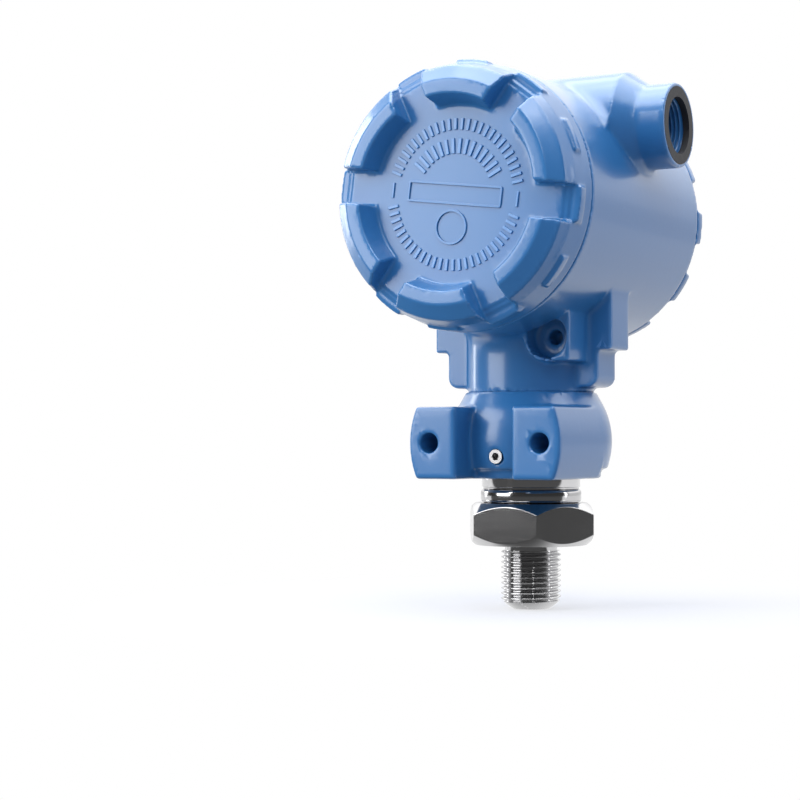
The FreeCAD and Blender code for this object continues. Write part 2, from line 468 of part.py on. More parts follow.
def make_housing():
    """The cast case: drum with two compartments, two cable entries, swivel neck and grounding boss."""
    body = new_body("housing", on_axis=True)
    half = "(drum_length / 2)"
    drum_edge = circle(new_sketch(body, "drum_edge", "XZ_Plane"), "drum_radius")
    pad(body, "drum", drum_edge, "drum_length", Midplane=True)
    neck_edge = circle(new_sketch(body, "neck_edge", "XY_Plane", f"-{NECK_DROP}"), "neck_radius")
    pad(body, "neck", neck_edge, f"{NECK_DROP} - drum_wall")
    entries = outline(new_sketch(body, "entry_section", "XZ_Plane", shift=("0", "boss_rise")), [
        ("-entry_reach", "0"), ("-entry_reach", "nozzle_radius"), ("-nozzle_start", "nozzle_radius"),
        ("-boss_reach", "boss_radius"), ("boss_reach", "boss_radius"), ("nozzle_start", "nozzle_radius"),
        ("entry_reach", "nozzle_radius"), ("entry_reach", "0")])
    revolve(body, "entry_bosses", entries, "H_Axis")
    foot = f"-({NECK_DROP} - side_foot)"
    step = f"-({NECK_DROP} - side_step_rise)"
    inside = "-side_root_drop"
    sides = outline(new_sketch(body, "side_pads_outline", "XZ_Plane"), [
        ("-side_step_upper", inside), ("-side_step_upper", step), ("-side_step_lower", step),
        ("-side_step_lower", foot), ("side_step_lower", foot), ("side_step_lower", step),
        ("side_step_upper", step), ("side_step_upper", inside)])
    pad(body, "side_pads", sides, "side_width", Midplane=True)
    reach = value("side_step_lower")
    low = -value(f"{NECK_DROP} - side_foot")
    round_edges(body, "side_pad_feet", "side_rounding",
                lambda edge: abs(edge.BoundBox.ZMax - low) < 1e-3
                and abs(abs(edge.BoundBox.XMin) - reach) < 1e-3 and abs(edge.BoundBox.XLength) < 1e-3)
    block = box_outline(new_sketch(body, "ground_block_outline", "XZ_Plane", "ground_reach"),
                        "ground_x", "-(ground_drop + ground_block_height / 2)",
                        "ground_x + ground_boss_radius", "-(ground_drop - ground_block_height / 2)")
    pad(body, "ground_block", block, "ground_reach - side_width / 2 + root_overlap", Reversed=True)
    boss = circle(new_sketch(body, "ground_boss_edge", "XZ_Plane", "ground_reach"),
                  "ground_boss_radius", ("ground_x", "-ground_drop"))
    pad(body, "ground_boss", boss, "ground_reach - side_width / 2 + root_overlap", Reversed=True)
    # Compartments: a stepped partition leaves a way from the neck to the front one
    front = circle(new_sketch(body, "front_compartment_edge", "XZ_Plane", f"{half}"), CAVITY)
    pocket(body, "front_compartment", front, f"{half} - {FRONT_WALL}")
    rear = outline(new_sketch(body, "rear_compartment_edge", "XZ_Plane", f"-{half}"), [
        (f"-sqrt({CAVITY} * {CAVITY} - shelf_drop * shelf_drop)", "-shelf_drop"),
        (f"sqrt({CAVITY} * {CAVITY} - shelf_drop * shelf_drop)", "-shelf_drop"), ("via", "0", CAVITY)])
    pocket(body, "rear_compartment", rear, f"{half} - {REAR_WALL}", Reversed=True)
    mouth = circle(new_sketch(body, "rear_mouth_edge", "XZ_Plane", f"-{half}"), CAVITY)
    pocket(body, "rear_mouth", mouth, f"{half} - shelf_reach - partition_thickness", Reversed=True)
    below = "(shelf_drop + partition_thickness)"
    passage = outline(new_sketch(body, "passage_edge", "XZ_Plane", FRONT_WALL), [
        (f"-sqrt({CAVITY} * {CAVITY} - {below} * {below})", f"-{below}"), ("via", "0", f"-{CAVITY}"),
        (f"sqrt({CAVITY} * {CAVITY} - {below} * {below})", f"-{below}")])
    pocket(body, "passage", passage, f"{FRONT_WALL} + shelf_reach")
    landing = f"-({NECK_DROP} - swivel_length - swivel_headroom)"
    bore = outline(new_sketch(body, "neck_bore_section", "XZ_Plane"), [
        ("0", f"-{NECK_DROP}"), ("swivel_radius + swivel_clearance", f"-{NECK_DROP}"),
        ("swivel_radius + swivel_clearance", landing), ("swivel_bore_radius", landing),
        ("swivel_bore_radius", f"-{below}"), ("0", f"-{below}")])
    revolve(body, "neck_bore", bore, "V_Axis", cut=True)
    for name, direction in (("left", "-"), ("right", "")):
        lift = f"{direction}entry_reach"
        sketch = circle(new_sketch(body, f"{name}_entry_edge", "YZ_Plane", lift),
                        "entry_thread_radius", ("0", "boss_rise"))
        pocket(body, f"{name}_entry", sketch, "entry_reach - entry_thread_end", Reversed=direction == "-")
    recess = circle(new_sketch(body, "right_recess_edge", "YZ_Plane", "entry_reach"),
                    "entry_recess_radius", ("0", "boss_rise"))
    pocket(body, "right_recess", recess, "entry_recess_depth")
    cup = circle(new_sketch(body, "ground_recess_edge", "XZ_Plane", "ground_reach"),
                 "ground_recess_radius", ("ground_x", "-ground_drop"))
    pocket(body, "ground_recess", cup, "ground_recess_depth")
    hole = circle(new_sketch(body, "ground_hole_edge", "XZ_Plane", "ground_reach - ground_recess_depth"),
                  "ground_hole_radius", ("ground_x", "-ground_drop"))
    pocket(body, "ground_hole", hole, "ground_hole_depth")
    floor = value("ground_recess_depth - ground_reach")
    drilled = value("ground_hole_radius")
    round_edges(body, "ground_hole_chamfer", "ground_hole_chamfer",
                lambda edge: is_circle(edge, drilled) and abs(edge.Curve.Center.y - floor) < 1e-3,
                "Chamfer")
    lock = circle(new_sketch(body, "neck_screw_hole_edge", "XZ_Plane", "-(neck_radius + overcut)"),
                  "neck_screw_radius + fit_clearance", ("0", f"-({NECK_DROP} - lock_groove_rise)"))
    pocket(body, "neck_screw_hole", lock, "neck_radius - swivel_radius + overcut * 2", Reversed=True)
    feed = circle(new_sketch(body, "feed_hole_edge", "XZ_Plane", FRONT_WALL),
                  "feed_radius + fit_clearance", ("0", "feed_rise"))
    pocket(body, "feed_hole", feed, "partition_thickness + overcut")
    place = ("-inner_ground_place", "inner_ground_rise")
    pad_edge = circle(new_sketch(body, "ground_pad_edge", "XZ_Plane", f"-{REAR_WALL}"), "pad_radius", place)
    pad(body, "ground_pad", pad_edge, "pad_height", Reversed=True)
    tapped = circle(new_sketch(body, "inner_ground_hole_edge", "XZ_Plane", f"-({REAR_WALL} + pad_height)"),
                    "ground_screw_radius + fit_clearance", place)
    pocket(body, "inner_ground_hole", tapped, "ground_screw_length + hole_bottom - washer_thickness",
           Reversed=True)
    screws = new_sketch(body, "block_screw_holes_edge", "XZ_Plane", f"-{REAR_WALL}")
    for side in ("-", ""):
        circle(screws, "screw_radius + fit_clearance", (f"{side}block_screw_place", "-block_screw_drop"))
    pocket(body, "block_screw_holes", screws, "block_screw_length - plate_depth + hole_bottom",
           Reversed=True)


def make_cover(side, turn):
    """The part that both covers share: spigot, seal seat, skirt, disc and a ring of small rim blocks."""
    body = new_body(f"{side}_cover", on_axis=True)
    half_turn = FreeCAD.Rotation(FreeCAD.Vector(0, 0, 1), turn)
    lean = FreeCAD.Rotation(FreeCAD.Vector(0, 1, 0), value(f"{side}_cover_turn"))
    body.Placement = FreeCAD.Placement(FreeCAD.Vector(0, 0, value("axis_height")), half_turn.multiply(lean))
    face = f"{side}_face"
    rim = f"{side}_rim_radius"
    inner = f"({COVER_SPIGOT} - cover_spigot_wall)"
    ceiling = f"({face} - cover_thickness)"
    tail = f"({COVER_SEAT} - cover_spigot_length)"
    step = f"({COVER_SEAT} - {COVER_SEAL_SEAT})"
    section = outline(new_sketch(body, "turned_section", "YZ_Plane"), [
        (f"-{face}", "0"), (f"-{face}", rim), (f"-{COVER_SEAT}", "cover_radius"),
        (f"-{COVER_SEAT}", COVER_SEAL_FLOOR), (f"-{step}", COVER_SEAL_FLOOR),
        (f"-{step}", COVER_SPIGOT), (f"-{tail}", COVER_SPIGOT),
        (f"-{tail}", inner), (f"-{ceiling}", inner), (f"-{ceiling}", "0")])
    revolve(body, "turned", section, "H_Axis")
    start = f"({COVER_SEAT} + {side}_block_start)"
    block_section = box_outline(new_sketch(body, "block_section", "YZ_Plane"), f"-({start} + block_width)",
                                "notch_radius - overcut", f"-{start}", "block_radius")
    block = revolve(body, "first_block", block_section, "H_Axis", "block_angle")
    repeat_round(body, "blocks", block, block_section, "H_Axis", "block_count")
    return body


def make_front_cover():
    """The cover with a raised ring, which three slots for a bar wrench part into six grips."""
    body = make_cover("front", 0)
    top = "(front_face + grip_height)"
    foot = "-(front_face - root_overlap)"
    grip = outline(new_sketch(body, "grip_section", "YZ_Plane"), [
        (foot, "grip_foot_inner"), (f"-{top}", "grip_inner"), (f"-{top}", "grip_outer"),
        (f"-({top} - grip_shoulder_height)", "grip_shoulder"), (foot, "front_rim_radius")])
    revolve(body, "grip_ring", grip, "H_Axis")
    bar = "(wrench_slot_width / 2)"
    beyond = "(cover_radius + overcut)"
    slot = box_outline(new_sketch(body, "wrench_slot_edge", "XZ_Plane", top),
                       f"-{beyond}", f"-{bar}", beyond, bar)
    first = pocket(body, "first_wrench_slot", slot, "grip_height")
    repeat_round(body, "wrench_slots", first, slot, "N_Axis", "wrench_slots")
    for name in ("step", "notch"):
        edge = box_outline(new_sketch(body, f"{name}_edge", "XZ_Plane", "front_face"),
                           f"{name}_radius", f"-{bar}", beyond, bar)
        first = pocket(body, f"first_{name}", edge, f"{name}_drop")
        repeat_round(body, f"{name}s", first, edge, "N_Axis", "wrench_slots * 2")


def make_electronics():
    """The potted cup, its board with a plug socket, and the screws that hold them on the partition."""
    def segment(sketch, radius, cut):
        run = f"sqrt({radius} * {radius} - {cut} * {cut})"
        return outline(sketch, [(f"-{run}", f"-{cut}"), (run, f"-{cut}"), ("via", "0", radius)])

    cup = new_body("electronics_cup", on_axis=True)
    front = f"({FRONT_WALL} + cup_depth)"
    wall = segment(new_sketch(cup, "cup_edge", "XZ_Plane", FRONT_WALL), "cup_radius", "cup_cut")
    pad(cup, "cup", wall, "cup_depth")
    hollow = segment(new_sketch(cup, "hollow_edge", "XZ_Plane", front),
                     "(cup_radius - cup_wall)", "(cup_cut - cup_wall)")
    pocket(cup, "hollow", hollow, "potting_depth")
    post = circle(new_sketch(cup, "post_edge", "XZ_Plane", f"{front} - potting_depth"), "post_radius",
                  ("0", "post_place"))
    first = pad(cup, "first_post", post, "potting_depth")
    repeat_round(cup, "posts", first, post, "N_Axis", "post_count")
    drill = circle(new_sketch(cup, "screw_hole_edge", "XZ_Plane", front), "screw_radius + fit_clearance",
                   ("0", "post_place"))
    first = pocket(cup, "first_screw_hole", drill, "board_screw_length - board_thickness + hole_bottom")
    repeat_round(cup, "screw_holes", first, drill, "N_Axis", "post_count")
    relief = circle(new_sketch(cup, "pin_relief_edge", "XZ_Plane", FRONT_WALL), "feed_radius",
                    ("0", "feed_rise"))
    pocket(cup, "pin_relief", relief, "feed_pin_reach + overcut", Reversed=True)

    board = new_body("circuit_board", on_axis=True)
    edge = segment(new_sketch(board, "board_edge", "XZ_Plane", front), "board_radius", "board_cut")
    pad(board, "board", edge, "board_thickness")
    top = f"({front} + board_thickness)"
    drill = circle(new_sketch(board, "screw_hole_edge", "XZ_Plane", top),
                   "screw_radius + fit_clearance * 2", ("0", "post_place"))
    first = pocket(board, "first_screw_hole", drill, "board_thickness + overcut")
    repeat_round(board, "screw_holes", first, drill, "N_Axis", "post_count")

    socket = new_body("board_socket", on_axis=True)
    half = "(socket_width / 2)"
    low = "(socket_rise - socket_depth / 2)"
    high = "(socket_rise + socket_depth / 2)"
    shell = box_outline(new_sketch(socket, "shell_edge", "XZ_Plane", top), f"-{half}", low, half, high)
    pad(socket, "shell", shell, "socket_height")
    inner = box_outline(new_sketch(socket, "mouth_edge", "XZ_Plane", f"{top} + socket_height"),
                        f"-({half} - socket_wall)", f"{low} + socket_wall",
                        f"{half} - socket_wall", f"{high} - socket_wall")
    pocket(socket, "mouth", inner, "socket_height - socket_wall")

    screws = []
    for number in range(int(value("post_count"))):
        turn = f"({number} * 360 / post_count)"
        place = (f"post_place * sin({turn})", f"-{top}", f"axis_height + post_place * cos({turn})")
        screws.append(screw(f"board_screw_{number + 1}", "screw", "board_screw_length", place, FRONTWARD))
    group("board_screws", screws)


def primitive(kind, name, **settings):
    """A Part primitive whose sizes and place are rules."""
    made = doc.addObject(f"Part::{kind}", name)
    for key, rule in settings.items():
        made.setExpression(key.replace("_", "."), bound(rule))
    made.Visibility = False
    return made


def put(made, place, turn):
    """Turns a primitive or a cut, and binds its place to three rules."""
    made.Placement = FreeCAD.Placement(FreeCAD.Vector(*[value(rule) for rule in place]), turn)
    for axis, rule in zip("xyz", place):
        made.setExpression(f"Placement.Base.{axis}", bound(rule))
    return made


FRONTWARD = FreeCAD.Rotation(FreeCAD.Vector(1, 0, 0), 90)
REARWARD = FreeCAD.Rotation(FreeCAD.Vector(1, 0, 0), -90)


def screw(name, family, length, place, turn):
    """A slotted cheese-head screw; the head's seat is at the place given."""
    head = primitive("Cylinder", f"{name}_head",
                     Radius=f"{family}_head_radius", Height=f"{family}_head_height")
    radius = "ground_screw_radius" if family == "ground" else "screw_radius"
    shank = primitive("Cylinder", f"{name}_shank", Radius=radius, Height=length)
    shank.setExpression("Placement.Base.z", bound(f"-{length}"))
    whole = doc.addObject("Part::Fuse", f"{name}_whole")
    whole.Base, whole.Tool = head, shank
    slot = primitive("Box", f"{name}_slot",
                     Length=f"{family}_head_radius * 3", Width="slot_width", Height="slot_depth + overcut")
    slot.setExpression("Placement.Base.x", bound(f"-{family}_head_radius * 1.5"))
    slot.setExpression("Placement.Base.y", bound("-slot_width / 2"))
    slot.setExpression("Placement.Base.z", bound(f"{family}_head_height - slot_depth"))
    made = doc.addObject("Part::Cut", name)
    made.Base, made.Tool = whole, slot
    return put(made, place, turn)


def make_feed_through():
    """The sealed plug that carries the loop's wires through the partition, with its pins."""
    body = new_body("feed_through", on_axis=True)
    section = outline(new_sketch(body, "plug_section", "YZ_Plane", shift=("0", "feed_rise")), [
        ("partition_place", "0"), ("partition_place", "feed_radius"), (REAR_WALL, "feed_radius"),
        (REAR_WALL, "feed_flange"), (f"{REAR_WALL} + feed_flange_height", "feed_flange"),
        (f"{REAR_WALL} + feed_flange_height", "0")])
    revolve(body, "plug", section, "H_Axis")
    drill = circle(new_sketch(body, "pin_hole_edge", "XZ_Plane", FRONT_WALL, shift=("0", "feed_rise")),
                   "feed_pin_radius", ("feed_pin_ring", "0"))
    through = "(partition_thickness + feed_flange_height)"
    first = pocket(body, "first_pin_hole", drill, f"{through} + overcut")
    repeat_round(body, "pin_holes", first, drill, "N_Axis", "feed_pin_count")
    pins = []
    for number in range(int(value("feed_pin_count"))):
        turn = f"({number} * 360 / feed_pin_count)"
        pin = primitive("Cylinder", f"feed_pin_{number + 1}", Radius="feed_pin_radius",
                        Height=f"{through} + feed_pin_reach * 2")
        place = (f"feed_pin_ring * cos({turn})", "partition_place - feed_pin_reach",
                 f"axis_height + feed_rise + feed_pin_ring * sin({turn})")
        pins.append(put(pin, place, REARWARD))
    group("feed_pins", pins)


def make_terminals():
    """The moulded terminal block in the rear compartment, with its clamps and screws."""
    body = new_body("terminal_block", on_axis=True)
    low = "sqrt(plate_radius * plate_radius - plate_bottom * plate_bottom)"
    high = "sqrt(plate_radius * plate_radius - plate_top * plate_top)"
    face = f"({REAR_WALL} + plate_depth)"
    plate = outline(new_sketch(body, "plate_edge", "XZ_Plane", f"-{REAR_WALL}"), [
        (f"-{low}", "-plate_bottom"), (low, "-plate_bottom"), ("via", "plate_radius", "0"),
        (high, "plate_top"), (f"-{high}", "plate_top"), ("via", "-plate_radius", "0")])
    pad(body, "plate", plate, "plate_depth", Reversed=True)
    left = "(terminal_pitch * terminal_count / 2)"
    rib = box_outline(new_sketch(body, "rib_edge", "XZ_Plane", f"-{face}"),
                      f"-({left} + rib_width / 2)", "-rib_bottom", f"-({left} - rib_width / 2)", "plate_top")
    first = pad(body, "first_rib", rib, "rib_height", Reversed=True)
    repeat_along(body, "ribs", first, rib, "terminal_pitch * terminal_count", "terminal_count + 1")
    start = f"-({left} - terminal_pitch / 2)"
    drill = circle(new_sketch(body, "screw_hole_edge", "XZ_Plane", f"-{face}"),
                   "screw_radius + fit_clearance", (start, "-terminal_drop"))
    first = pocket(body, "first_screw_hole", drill, "screw_length - clamp_thickness + hole_bottom",
                   Reversed=True)
    run = "terminal_pitch * (terminal_count - 1)"
    repeat_along(body, "screw_holes", first, drill, run, "terminal_count")
    holes = new_sketch(body, "block_screw_holes_edge", "XZ_Plane", f"-{face}")
    for side in ("-", ""):
        circle(holes, "screw_radius + fit_clearance", (f"{side}block_screw_place", "-block_screw_drop"))
    pocket(body, "block_screw_holes", holes, "plate_depth + overcut", Reversed=True)

    clamps, screws = [], []
    for number in range(int(value("terminal_count"))):
        across = f"({start} + terminal_pitch * {number})"
        sheet_metal = primitive("Box", f"clamp_{number + 1}_sheet",
                                Length="clamp_width", Width="clamp_width", Height="clamp_thickness")
        sheet_metal.setExpression("Placement.Base.x", bound("-clamp_width / 2"))
        sheet_metal.setExpression("Placement.Base.y", bound("-clamp_width / 2"))
        opening = primitive("Cylinder", f"clamp_{number + 1}_hole", Radius="screw_radius + fit_clearance",
                            Height="clamp_thickness")
        clamp = doc.addObject("Part::Cut", f"clamp_{number + 1}")
        clamp.Base, clamp.Tool = sheet_metal, opening
        clamps.append(put(clamp, (across, face, "axis_height - terminal_drop"), REARWARD))
        place = (across, f"{face} + clamp_thickness", "axis_height - terminal_drop")
        screws.append(screw(f"terminal_screw_{number + 1}", "screw", "screw_length", place, REARWARD))
    group("terminal_clamps", clamps)
    group("terminal_screws", screws)
    group("block_screws", [
        screw(f"block_screw_{name}", "screw", "block_screw_length",
              (f"{side}block_screw_place", face, "axis_height - block_screw_drop"), REARWARD)
        for name, side in (("left", "-"), ("right", ""))])


def make_inner_ground():
    """The washer and screw for the cable's earth core, on a pad beside the terminal block."""
    seat = f"({REAR_WALL} + pad_height)"
    washer = primitive("Cylinder", "washer_disc", Radius="washer_radius", Height="washer_thickness")
    opening = primitive("Cylinder", "washer_hole",
                        Radius="ground_screw_radius + fit_clearance", Height="washer_thickness")
    cut = doc.addObject("Part::Cut", "inner_ground_washer")
    cut.Base, cut.Tool = washer, opening
    NODES.append(put(cut, ("-inner_ground_place", seat, "axis_height + inner_ground_rise"), REARWARD))
    place = ("-inner_ground_place", f"{seat} + washer_thickness", "axis_height + inner_ground_rise")
    NODES.append(screw("inner_ground_screw", "ground", "ground_screw_length", place, REARWARD))


def make_neck_lock_screw():
    """The grub screw at the back of the neck; its tip runs in the swivel groove."""
    body = new_body("neck_lock_screw", on_axis=True)
    rise = f"-({NECK_DROP} - lock_groove_rise)"
    head = "(neck_radius - neck_screw_sink)"
    tip = "(swivel_radius - lock_groove_depth + tip_clearance)"
    edge = circle(new_sketch(body, "shank_edge", "XZ_Plane", f"-{head}"), "neck_screw_radius", ("0", rise))
    pad(body, "shank", edge, f"{head} - {tip}")
    socket = new_sketch(body, "socket_outline", "XZ_Plane", f"-{head}", ("0", rise))
    pocket(body, "socket", hexagon(socket, "neck_screw_socket * 2"), "neck_screw_radius", Reversed=True)


def make_entry_fittings():
    """The seal in the open entry's mouth, and the blanking plug with its seal in the other one."""
    seal = new_body("entry_seal", on_axis=True)
    floor = "(entry_reach - entry_recess_depth)"
    section = box_outline(new_sketch(seal, "seal_section", "XZ_Plane", shift=("0", "boss_rise")),
                          floor, "entry_seal_bore",
                          "entry_reach - entry_seal_sink", "entry_recess_radius - entry_seal_clearance")
    revolve(seal, "seal", section, "H_Axis")
    ring = new_body("plug_seal", on_axis=True)
    section = box_outline(new_sketch(ring, "ring_section", "XZ_Plane", shift=("0", "boss_rise")),
                          "-(entry_reach + plug_seal_thickness)", "entry_thread_radius",
                          "-entry_reach", "plug_seal_radius")
    revolve(ring, "ring", section, "H_Axis")
    plug = new_body("entry_plug", on_axis=True)
    collar = "(entry_reach + plug_seal_thickness)"
    flange = f"({collar} + plug_collar_height)"
    tail = f"({collar} - plug_length)"
    shank = "(entry_thread_radius - fit_clearance)"
    turned = outline(new_sketch(plug, "plug_section", "XZ_Plane", shift=("0", "boss_rise")), [
        (f"-{flange}", "0"), (f"-{flange}", "plug_collar_radius"), (f"-{collar}", "plug_collar_radius"),
        (f"-{collar}", shank), (f"-{tail}", shank), (f"-{tail}", "0")])
    revolve(plug, "turned", turned, "H_Axis")
    head = hexagon(new_sketch(plug, "head_outline", "YZ_Plane", f"-{flange}", ("0", "boss_rise")),
                   "plug_hex_flats")
    pad(plug, "head", head, "plug_hex_height", Reversed=True)
    corner = "(plug_hex_flats / sqrt(3) + overcut)"
    end = f"({flange} + plug_hex_height)"
    land = "(plug_hex_flats / 2 - plug_land_inset)"
    fall = f"(({corner} - {land}) * tan(plug_chamfer_angle))"
    chamfer = outline(new_sketch(plug, "head_chamfer_section", "XZ_Plane", shift=("0", "boss_rise")), [
        (f"-{end}", land), (f"-{end}", corner), (f"-({end} - {fall})", corner)])
    revolve(plug, "head_chamfer", chamfer, "H_Axis", cut=True)


def build():
    """The whole transmitter, from the process end up."""
    make_process_connection()
    make_sensor()
    make_adapter()
    make_retaining_screw()
    make_seals()
    make_housing()
    make_front_cover()
    make_cover("rear", 180)
    make_electronics()
    make_feed_through()
    make_terminals()
    make_inner_ground()
    make_neck_lock_screw()
    make_entry_fittings()


build()
doc.recompute()
failed = [made.Name for made in doc.Objects if "Invalid" in made.State or "Error" in made.State]
if failed:
    raise RuntimeError(f"failed objects: {failed}")
for node in NODES:
    if node.Shape.isNull() or not node.Shape.isValid():
        raise RuntimeError(f"{node.Label} has no valid shape")
os.makedirs("parts", exist_ok=True)
for node in NODES:
    node.Shape.exportStep(f"parts/{node.Label}.step")
    print(node.Label, len(node.Shape.Solids), round(node.Shape.Volume, 1))
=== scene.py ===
import functools
import math

import bmesh
import bpy
import numpy as np
import openvdb
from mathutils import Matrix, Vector


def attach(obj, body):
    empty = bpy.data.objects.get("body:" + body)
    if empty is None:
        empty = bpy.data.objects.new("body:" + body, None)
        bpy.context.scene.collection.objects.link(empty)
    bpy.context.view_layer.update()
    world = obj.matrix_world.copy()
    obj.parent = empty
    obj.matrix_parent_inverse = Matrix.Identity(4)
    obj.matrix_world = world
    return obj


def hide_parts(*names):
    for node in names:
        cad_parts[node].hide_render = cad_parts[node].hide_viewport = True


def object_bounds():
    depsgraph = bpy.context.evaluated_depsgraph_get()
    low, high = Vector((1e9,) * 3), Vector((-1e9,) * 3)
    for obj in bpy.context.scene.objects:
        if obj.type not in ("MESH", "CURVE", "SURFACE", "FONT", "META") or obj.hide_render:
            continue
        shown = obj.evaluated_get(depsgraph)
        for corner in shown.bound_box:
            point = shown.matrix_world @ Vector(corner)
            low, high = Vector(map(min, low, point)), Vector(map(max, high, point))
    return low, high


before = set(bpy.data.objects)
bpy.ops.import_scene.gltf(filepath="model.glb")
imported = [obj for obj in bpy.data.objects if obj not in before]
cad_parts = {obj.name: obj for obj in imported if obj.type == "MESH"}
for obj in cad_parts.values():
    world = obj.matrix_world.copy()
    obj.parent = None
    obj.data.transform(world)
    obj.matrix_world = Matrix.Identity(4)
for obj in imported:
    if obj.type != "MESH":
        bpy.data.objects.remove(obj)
cad_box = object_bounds()

# The camera: the eye stands 0.67 m from the process axis, 25 degrees round from the front cover towards the
# open cable entry. It is as high as the adapter body, so the covers are seen from below their axis.
eye_azimuth = math.radians(25.5)
eye_distance = 0.6743
eye_height = 0.0554
eye_pan = math.radians(3.91)
picture_width = 800
focal_pixels = 1917.0
horizon_below_centre = 40.6
sensor_width = 36.0
camera_data = bpy.data.cameras.new("camera")
camera_data.sensor_width = sensor_width
camera_data.lens = focal_pixels / picture_width * sensor_width
camera_data.shift_y = horizon_below_centre / picture_width
camera = bpy.data.objects.new("camera", camera_data)
camera.location = (eye_distance * math.sin(eye_azimuth), -eye_distance * math.cos(eye_azimuth), eye_height)
camera.rotation_euler = (math.radians(90), 0, eye_azimuth + eye_pan)
bpy.context.collection.objects.link(camera)
bpy.context.scene.camera = camera
bpy.context.scene.view_settings.view_transform = "Standard"

# The studio: white paper under the transmitter and a white tent round it, which lights the paint a little
# blue. Polished steel mirrors a brighter wall and ceiling, and a dim room and table on the camera's side.
floor_size = 6.0
floor_drop = 0.0002
paper_white = 0.9
paper_roughness = 0.9
paper_shine = 0.1
bounce_share = 0.35
shadow_run = (0.048, 0.16)
shadow_share = 0.45
table_run = (0.002, 0.018)
table_brightness = 0.10
room_azimuth = math.radians(12)
room_run = (-0.45, -0.1)
room_brightness = 0.05
backdrop_run = (0.05, 0.45)
backdrop_glow = (0.8, 1.7)
ceiling_run = (0.62, 0.80)
ceiling_glow = (0.0, 4.5)
tent_brightness = 0.68
tent_tint = (0.76, 0.88, 1.20)
lamp_aim = Vector((0, 0, 0.1))
lamp_distance = 1.1


def new_material(name):
    """A material, its node tree and its Principled shader."""
    made = bpy.data.materials.new(name)
    made.use_nodes = True
    return made, made.node_tree, made.node_tree.nodes["Principled BSDF"]


def is_source(value):
    """Whether a value is another node's output, given as (node, output)."""
    return isinstance(value, tuple) and isinstance(value[0], bpy.types.Node)


def set_inputs(tree, node, inputs):
    """Sets a node's inputs: a source is linked, and anything else is a plain value."""
    for socket, value in inputs.items():
        if is_source(value):
            tree.links.new(value[0].outputs[value[1]], node.inputs[socket])
        else:
            node.inputs[socket].default_value = value


def add_node(tree, kind, inputs=(), **settings):
    """A node with its settings and its inputs."""
    node = tree.nodes.new(kind)
    for key, setting in settings.items():
        setattr(node, key, setting)
    set_inputs(tree, node, dict(inputs))
    return node


def ramp(tree, value, run, ends, kind="LINEAR"):
    """A source that goes from the first of its ends to the second while a value crosses the run."""
    inputs = {"Value": value, "From Min": run[0], "From Max": run[1], "To Min": ends[0], "To Max": ends[1]}
    return add_node(tree, "ShaderNodeMapRange", inputs, interpolation_type=kind), "Result"


def joined(tree, operation, first, second):
    """A source that joins two values by an operation."""
    return add_node(tree, "ShaderNodeMath", {0: first, 1: second}, operation=operation), 0


def along(tree, place, direction):
    """A source that says how far a place lies in a direction."""
    return add_node(tree, "ShaderNodeVectorMath", {0: place, 1: direction}, operation="DOT_PRODUCT"), "Value"


def value_mix(tree, factor, first, second):
    """A source between two values."""
    return add_node(tree, "ShaderNodeMix", {0: factor, 2: first, 3: second}), 0


def colour_mix(tree, factor, first, second):
    """A source between two colours, each given as three channels or as a source."""
    ends = [colour if is_source(colour) else (*colour, 1) for colour in (first, second)]
    return add_node(tree, "ShaderNodeMix", {0: factor, 6: ends[0], 7: ends[1]}, data_type="RGBA"), 2


room = (math.sin(room_azimuth), -math.cos(room_azimuth), 0.0)
paper, tree, shader = new_material("floor_paper")
rays = add_node(tree, "ShaderNodeLightPath")
to_eye = (rays, "Is Camera Ray")
to_mirror = (rays, "Is Glossy Ray")
place = add_node(tree, "ShaderNodeTexCoord")
away = add_node(tree, "ShaderNodeVectorMath", {0: (place, "Object")}, operation="LENGTH")
spot = add_node(tree, "ShaderNodeNewGeometry")
set_inputs(tree, shader, {
    "Roughness": paper_roughness, "Specular IOR Level": paper_shine,
    "Base Color": ramp(tree, to_eye, (0, 1), (paper_white * bounce_share, paper_white))})
table = ramp(tree, along(tree, (spot, "Position"), room), table_run, (1.0, table_brightness), "SMOOTHSTEP")
glow = add_node(tree, "ShaderNodeEmission", {
    "Color": (1, 1, 1, 1), "Strength": value_mix(tree, to_mirror, 1.0, table)})
shadow = joined(tree, "MULTIPLY", ramp(tree, (away, "Value"), shadow_run, (shadow_share, 0.0)), to_eye)
seen = add_node(tree, "ShaderNodeMixShader", {0: shadow, 1: (glow, "Emission"), 2: (shader, "BSDF")})
direct = joined(tree, "MAXIMUM", joined(tree, "MAXIMUM", to_eye, to_mirror), (rays, "Is Transmission Ray"))
both = add_node(tree, "ShaderNodeMixShader", {0: direct, 1: (shader, "BSDF"), 2: (seen, "Shader")})
set_inputs(tree, tree.nodes["Material Output"], {"Surface": (both, "Shader")})
bpy.ops.mesh.primitive_plane_add(size=floor_size, location=(0, 0, cad_box[0][2] - floor_drop))
floor = bpy.context.object
floor.name = "floor"
floor.data.materials.append(paper)

